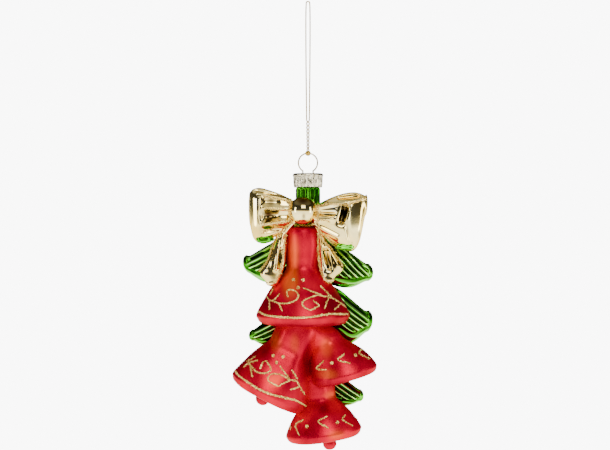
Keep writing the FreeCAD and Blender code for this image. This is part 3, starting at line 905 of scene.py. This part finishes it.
BOW_LINES = [
    [(-7.8, -89.8), (-8.5, -94.4), (-7.8, -99.3), (-5.7, -101.0), (-2.0, -101.6), (2.2, -101.0),
     (4.2, -99.1), (3.9, -94.0), (2.2, -89.8), (0.3, -88.0), (-2.0, -87.5), (-4.5, -87.8),
     (-6.5, -88.7), (-7.8, -89.8)],
    [(-8.4, -101.5), (-10.6, -103.5), (-12.7, -105.2), (-14.8, -107.8), (-16.4, -111.5),
     (-18.1, -116.7), (-20.5, -120.4), (-22.3, -122.1)],
    [(-10.2, -104.7), (-10.7, -109.3), (-11.1, -113.4), (-11.6, -117.5), (-12.7, -122.9),
     (-14.4, -126.2), (-15.9, -127.8)],
    [(-8.4, -99.3), (-12.7, -100.2), (-17.3, -100.6), (-20.8, -101.2)],
    [(-8.6, -94.4), (-12.7, -93.8), (-15.2, -94.0), (-19.5, -93.5)],
    [(-12.7, -104.7), (-15.6, -103.8), (-18.5, -103.6), (-20.8, -104.7)],
    [(-8.4, -90.5), (-14.4, -89.1), (-20.6, -88.1)],
    [(4.3, -102.6), (6.3, -104.8), (8.8, -107.1), (11.2, -109.9), (12.5, -111.2)],
    [(5.0, -104.7), (7.3, -108.8), (10.4, -111.4), (12.5, -115.0), (14.6, -117.5), (15.8, -119.9)],
    [(4.6, -104.7), (4.7, -109.3), (4.7, -113.4), (5.3, -119.2), (6.3, -122.9), (7.9, -125.8),
     (9.8, -127.4), (11.2, -125.8)],
    [(4.4, -92.7), (6.3, -92.1), (8.8, -91.6), (14.1, -91.7), (17.9, -92.2)],
    [(17.9, -92.2), (22.8, -90.3), (26.5, -88.8)],
    [(4.3, -98.5), (8.4, -99.2), (9.8, -99.8)],
    [(4.3, -95.6), (6.5, -95.3)],
    [(3.0, -89.8), (4.7, -92.7), (4.6, -99.3), (5.0, -103.1)],
]


def view_trees():
    """Every piece of the glass that is on show, for dropping glitter on it from the front."""
    bpy.context.view_layer.update()
    depsgraph = bpy.context.evaluated_depsgraph_get()
    trees = []
    for obj in bpy.context.scene.objects:
        if obj.type == "MESH" and not obj.hide_render and obj.get("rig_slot"):
            trees.append(BVHTree.FromObject(obj, depsgraph))
    return trees


TREES = view_trees()


GLASS_BACK_LIMIT = 0.672  # metres from the eye; anything farther is the back of the tree


def on_glass(x, z):
    """Where the line of sight from the front through (x, z) meets the glass, and its normal."""
    origin = Vector(EYE * MM)
    aim = (Vector((x * MM, 0, z * MM)) - origin).normalized()
    best = None
    for tree in TREES:
        hit, normal, _, distance = tree.ray_cast(origin, aim)
        if hit is not None and (best is None or distance < best[2]):
            best = (hit, normal, distance)
    if best is None or best[2] > GLASS_BACK_LIMIT:
        return None
    normal = best[1] if best[1].dot(aim) < 0 else -best[1]
    return np.array(best[0]) / MM, np.array(normal)


def along(points, spacing):
    """Places at an even spacing along a smooth line through the points."""
    fine = resample(points, 40 * len(points)) if len(points) > 2 else np.linspace(*points, 60)
    steps = np.hypot(*np.diff(fine, axis=0).T)
    travelled = np.concatenate([[0], np.cumsum(steps)])
    wanted = np.arange(0, travelled[-1], spacing)
    return np.stack([np.interp(wanted, travelled, fine[:, k]) for k in (0, 1)], axis=-1)


GRAIN_SPACING = 0.075
GRAINS_IN_A_DOT = 46
GRAIN_TILT = 0.45
STROKE_WIDTH = 0.34
DOT_RADIUS = 0.72
RIM_WIDTH = 0.42
BOW_LINE_WIDTH = 0.55


class Glitter:
    """Flat six-sided grains, each tilted its own way, gathered into one mesh."""

    def __init__(self):
        self.points = []
        self.faces = []

    def grain(self, place, normal, size):
        normal = normal + RNG.normal(scale=GRAIN_TILT, size=3)
        normal /= np.linalg.norm(normal)
        side = np.cross(normal, RNG.normal(size=3))
        side /= np.linalg.norm(side)
        other = np.cross(normal, side)
        base = len(self.points)
        for level, reach in ((-0.25, 0.8), (0.25, 1.0)):
            for k in range(6):
                a = math.radians(60 * k)
                step = side * math.cos(a) + other * math.sin(a)
                self.points.append(place + size * (reach * step + level * normal))
        self.faces.append(tuple(base + 6 + k for k in range(6)))
        self.faces.append(tuple(base + 5 - k for k in range(6)))
        for k in range(6):
            n = (k + 1) % 6
            self.faces.append((base + k, base + n, base + 6 + n, base + 6 + k))

    def line(self, points, width):
        for x, z in along(points, GRAIN_SPACING):
            wander = RNG.normal(scale=width * 0.42, size=2)
            found = on_glass(x + wander[0], z + wander[1])
            if found is not None:
                place, normal = found
                self.grain(place + normal * RNG.uniform(0.03, 0.28), normal, RNG.uniform(0.15, 0.28))

    def dot(self, centre, radius):
        for _ in range(GRAINS_IN_A_DOT):
            a, r = RNG.uniform(0, 6.28), radius * math.sqrt(RNG.uniform(0, 1))
            found = on_glass(centre[0] + r * math.cos(a), centre[1] + r * math.sin(a))
            if found is not None:
                place, normal = found
                lift = 0.05 + 0.3 * (1 - r / radius)
                self.grain(place + normal * lift, normal, RNG.uniform(0.14, 0.24))

    def build(self, name, *nodes):
        obj = make_mesh(name, self.points, self.faces, smooth=False)
        finish_piece(obj, "bubble", "gold_glitter", GLITTER, *nodes)


def glitter():
    for name, strokes in STROKES.items():
        g = Glitter()
        for stroke in strokes:
            g.line(stroke, STROKE_WIDTH)
        for centre in DOTS[name]:
            g.dot(centre, DOT_RADIUS)
        g.build("glitter_scrolls_" + name)
    for side, points in RIM_LINES.items():
        g = Glitter()
        for _ in range(2):
            g.line(points, RIM_WIDTH)
        g.build("glitter_line_" + side, "glitter_rim_" + side)
    g = Glitter()
    for points in BOW_LINES:
        g.line(points, BOW_LINE_WIDTH)
    g.build("glitter_bow")


glitter()


# ---------------------------------------------------------------- cap, neck and wire
CAP_SHEET = 0.3
CAP_CRIMPS = 36
CAP_CREASES = 23
NECK_FLUTES = 12


def cap_grid():
    """A cup of thin sheet: a smooth shoulder, then a finely pleated skirt with a wavy edge."""
    low, high = np.array(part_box("cap")) / MM
    top, bottom = high[2], low[2]
    outer = (high[0] - low[0]) / 2
    wall = CAP_SHEET
    columns = 432
    turn = np.linspace(0, 2 * math.pi, columns, endpoint=False)
    crimp = 0.5 + 0.5 * np.cos(CAP_CRIMPS * turn + 0.8 * np.sin(5 * turn))
    crease = 0.5 + 0.5 * np.cos(CAP_CREASES * turn + 1.1 * np.sin(3 * turn))
    # (radius, height, share of pleating)
    profile = [
        (0.05, top, 0), (outer - 2.0, top, 0), (outer - 0.75, top - 0.05, 0),
        (outer - 0.2, top - 0.4, 0), (outer - 0.02, top - 0.9, 0), (outer - 0.05, top - 1.3, 0.2),
        (outer - 0.2, top - 1.8, 0.8), (outer - 0.25, top - 2.6, 1.0), (outer - 0.3, bottom + 2.0, 1.0),
        (outer - 0.42, bottom + 0.9, 1.0), (outer - 0.5, bottom + 0.05, 1.0),
    ]
    rows = []
    for r, z, pleated in resample(profile, 90):
        pleated = min(max(pleated, 0.0), 1.0)
        skirt = smoothstep(top - 4.0, bottom, z)
        reach = r - pleated * (0.16 * crimp + 0.10 * crease)
        lift = 0.30 * skirt * (1 - crimp) * pleated
        rows.append(np.stack([reach * np.cos(turn), reach * np.sin(turn), z + lift], axis=-1))
    inner = []
    for ring in rows[::-1]:
        across = np.hypot(ring[:, 0], ring[:, 1])
        scale = np.maximum(across - wall, 0.02) / across
        shrunk = ring.copy()
        shrunk[:, 0] *= scale
        shrunk[:, 1] *= scale
        shrunk[:, 2] = np.minimum(ring[:, 2], top - wall)
        inner.append(shrunk)
    return np.array(rows + inner)


def neck_grid():
    """The bare neck that the cap covers, and the deeply fluted collar below it."""
    low, high = np.array(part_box("neck")) / MM
    radius = high[0]
    shoulder = high[2] - 6.1
    turn = np.linspace(0, 2 * math.pi, 288, endpoint=False)
    flute = 0.5 - 0.5 * np.cos(NECK_FLUTES * turn)
    # (radius, height, depth of the flutes)
    profile = [
        (radius, low[2], 0.9), (radius, low[2] + 4, 0.9), (radius, shoulder - 1.4, 0.9),
        (radius - 0.05, shoulder - 0.5, 0.8), (radius - 0.25, shoulder, 0.25),
        (radius - 0.46, shoulder + 0.4, 0), (radius - 0.46, high[2] - 0.3, 0),
        (radius - 0.7, high[2], 0), (radius - 1.1, high[2] - 0.2, 0),
        (radius - 1.25, high[2] - 2, 0), (radius - 1.25, low[2] + 0.5, 0),
    ]
    rows = []
    for r, z, depth in resample(profile, 130):
        reach = r - max(depth, 0.0) * flute
        rows.append(np.stack([reach * np.cos(turn), reach * np.sin(turn), np.full(288, z)], axis=-1))
    return np.array(rows)


def hardware():
    finish_piece(skin("cap_crimped", cap_grid()), "cap", "silver_cap", SILVER, "cap")
    finish_piece(skin("neck_fluted", neck_grid()), "bubble", "green_mirror", GREEN, "neck")
    slots = frame["nodes"]["hanger_wire"].data.materials
    slots.clear()
    slots.append(WIRE)


hardware()


# ---------------------------------------------------------------- hanging loop
THREAD_DIAMETER = 0.7
THREAD_STEP = 0.12        # between the rings of a ply
PLY_LAY = 1.5             # along the thread for one turn of its plies
PLY_RADIUS = 0.27 * THREAD_DIAMETER
PLY_SIDES = 6
KNOT_TOP = -67.2
TWIST_TOP = -53.5
TWIST_TURNS = 4


def route():
    """Corners of the loop's line, as the CAD has them, in millimetres."""
    bend, middle, ends = 1.35, -1.02, 0.42
    return [
        (-ends, 0, KNOT_TOP), (-bend, 0, middle + 0.58 * bend), (0, 0, middle + 1.155 * bend),
        (bend, 0, middle + 0.58 * bend), (ends, 0, KNOT_TOP),
    ]


def route_line():
    """Points along the smooth line through the loop's route."""
    curve = bpy.data.curves.new("loop_route", "CURVE")
    curve.dimensions = "3D"
    curve.resolution_u = 60
    corners = route()
    spline = curve.splines.new("NURBS")
    spline.points.add(len(corners) - 1)
    for point, (x, y, z) in zip(spline.points, corners):
        point.co = (x * MM, y * MM, z * MM, 1)
    spline.order_u = 3
    spline.use_endpoint_u = True
    holder = bpy.data.objects.new("loop_route", curve)
    bpy.context.scene.collection.objects.link(holder)
    bpy.context.view_layer.update()
    mesh = bpy.data.meshes.new_from_object(holder)
    points = np.array([v.co[:] for v in mesh.vertices]) / MM
    bpy.data.objects.remove(holder)
    bpy.data.meshes.remove(mesh)
    return points


def even(points, spacing):
    steps = np.linalg.norm(np.diff(points, axis=0), axis=1)
    travelled = np.concatenate([[0], np.cumsum(steps)])
    wanted = np.linspace(0, travelled[-1], int(travelled[-1] / spacing))
    return np.stack([np.interp(wanted, travelled, points[:, k]) for k in range(3)], axis=-1), travelled[-1]


def twisted_together(points):
    """The two strands wind round each other low down, above the knot."""
    moved = points.copy()
    for i, (x, y, z) in enumerate(points):
        share = min(max((TWIST_TOP - z) / (TWIST_TOP - KNOT_TOP), 0.0), 1.0)
        a = 2 * math.pi * TWIST_TURNS * share
        moved[i] = (x * math.cos(a), x * math.sin(a), z)
    return moved


def thread():
    """Three plies laid round the loop's line."""
    points, length = even(twisted_together(even(route_line(), THREAD_STEP)[0]), THREAD_STEP)
    tangent = np.gradient(points, axis=0)
    tangent /= np.linalg.norm(tangent, axis=1)[:, None]
    # carried along so that the plies don't flip round the bend
    normal = np.array([0.0, 1.0, 0.0])
    sides = []
    for t in tangent:
        normal = normal - t * normal.dot(t)
        normal /= np.linalg.norm(normal)
        sides.append(normal.copy())
    sides = np.array(sides)
    others = np.cross(tangent, sides)
    ply, ring = PLY_RADIUS, PLY_SIDES
    all_points, faces = [], []
    for k in range(3):
        phase = 2 * math.pi * (np.arange(len(points)) * THREAD_STEP / PLY_LAY + k / 3)
        out = sides * np.cos(phase)[:, None] + others * np.sin(phase)[:, None]
        middle = points + out * (THREAD_DIAMETER / 2 - ply)
        across = np.cross(tangent, out)
        base = len(all_points)
        for m, o, a in zip(middle, out, across):
            for j in range(ring):
                turn = 2 * math.pi * j / ring
                all_points.append(m + ply * (o * math.cos(turn) + a * math.sin(turn)))
        faces += [tuple(base + corner for corner in face) for face in grid_faces(len(points), ring)]
        faces.append(tuple(base + ring - 1 - j for j in range(ring)))
        last = base + (len(points) - 1) * ring
        faces.append(tuple(last + j for j in range(ring)))
    obj = make_mesh("loop_thread", all_points, faces)
    finish_piece(obj, "loop", "gold_thread", THREAD, "cord_loop")


def knot():
    """Wraps of thread pulled tight on the ring."""
    low, high = np.array(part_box("cord_knot")) / MM
    centre = (low + high) / 2
    radius = (high[0] - low[0]) / 2 - 0.05
    turn = np.linspace(0, 2 * math.pi, 72, endpoint=False)
    grid = []
    for a in np.linspace(0.03, math.pi - 0.03, 60):
        x = radius * math.cos(a) * np.ones(72)
        wrap = 1 + 0.12 * (np.abs(np.cos(3.2 * x / radius * 1.9 + 0.5 * np.sin(turn))) - 0.6)
        r = radius * math.sin(a) * np.minimum(wrap, 1.04)
        forward, up = centre[1] + r * np.cos(turn), centre[2] + r * np.sin(turn)
        grid.append(np.stack([centre[0] + x, forward, up], axis=-1))
    obj = skin("knot_wraps", np.array(grid))
    finish_piece(obj, "knot", "gold_thread", THREAD, "cord_knot")


thread()
knot()


# ---------------------------------------------------------------- floor and light
FLOOR_RADIUS = 2400
FLOOR_HEIGHT = -600


def floor():
    """A plain pale disc below the ornament, too low to be seen from its own height."""
    turns = [2 * math.pi * k / 96 for k in range(96)]
    rim = [(FLOOR_RADIUS * math.cos(a), FLOOR_RADIUS * math.sin(a), FLOOR_HEIGHT) for a in turns]
    obj = make_mesh("floor", rim, [tuple(range(96))], smooth=False)
    s = Shader("pale_floor")
    s.set(Roughness=0.9, Emission_Strength=2.4)
    s.bsdf.inputs["Emission Color"].default_value = (1.0, 0.985, 0.96, 1)
    colour = s.ramp(s.noise(40, 2.0), [(0.3, (0.90, 0.90, 0.90)), (0.7, (0.94, 0.94, 0.94))])
    s.link(colour, s.bsdf.inputs["Base Color"])
    obj.data.materials.append(s.material)


def world():
    """White behind the ornament. What it reflects is a pale room with a dark upper part."""
    w = bpy.data.worlds.new("studio")
    bpy.context.scene.world = w
    w.use_nodes = True
    nodes, link = w.node_tree.nodes, w.node_tree.links.new
    nodes.clear()
    out = nodes.new("ShaderNodeOutputWorld")
    mix = nodes.new("ShaderNodeMixShader")
    path = nodes.new("ShaderNodeLightPath")
    seen = nodes.new("ShaderNodeBackground")
    seen.inputs["Strength"].default_value = 9.0
    seen.inputs["Color"].default_value = (1, 1, 1, 1)
    room = nodes.new("ShaderNodeBackground")
    room.inputs["Strength"].default_value = 3.0
    coords = nodes.new("ShaderNodeTexCoord")
    split = nodes.new("ShaderNodeSeparateXYZ")
    spread = nodes.new("ShaderNodeMapRange")
    spread.inputs["From Min"].default_value = -1
    spread.inputs["From Max"].default_value = 1
    ramp = nodes.new("ShaderNodeValToRGB")
    greys = [(0.0, 1.0), (0.44, 1.0), (0.485, 0.22), (0.52, 0.03), (0.80, 0.02), (0.97, 0.30)]
    fill_ramp(ramp, [(height, (grey, grey, grey)) for height, grey in greys])
    link(coords.outputs["Generated"], split.inputs[0])
    link(split.outputs["Z"], spread.inputs["Value"])
    link(spread.outputs["Result"], ramp.inputs["Fac"])
    link(ramp.outputs["Color"], room.inputs["Color"])
    link(path.outputs["Is Camera Ray"], mix.inputs["Fac"])
    link(room.outputs[0], mix.inputs[1])
    link(seen.outputs[0], mix.inputs[2])
    link(mix.outputs[0], out.inputs[0])


def softbox(name, at, aim, width, height, power):
    data = bpy.data.lights.new(name, "AREA")
    data.shape = "RECTANGLE"
    data.size = width
    data.size_y = height
    data.energy = power
    obj = bpy.data.objects.new(name, data)
    obj.location = at
    obj.rotation_euler = (Vector(aim) - Vector(at)).to_track_quat("-Z", "Y").to_euler()
    obj.visible_camera = False
    bpy.context.scene.collection.objects.link(obj)


floor()
world()
softbox("key", (0.12, -0.80, 0.45), (0, 0, -0.13), 0.55, 0.45, 7.0)
softbox("left", (-0.85, -0.45, 0.0), (0, 0, -0.13), 0.20, 0.6, 3.0)
softbox("right", (0.85, -0.30, 0.0), (0, 0, -0.13), 0.20, 0.6, 3.0)
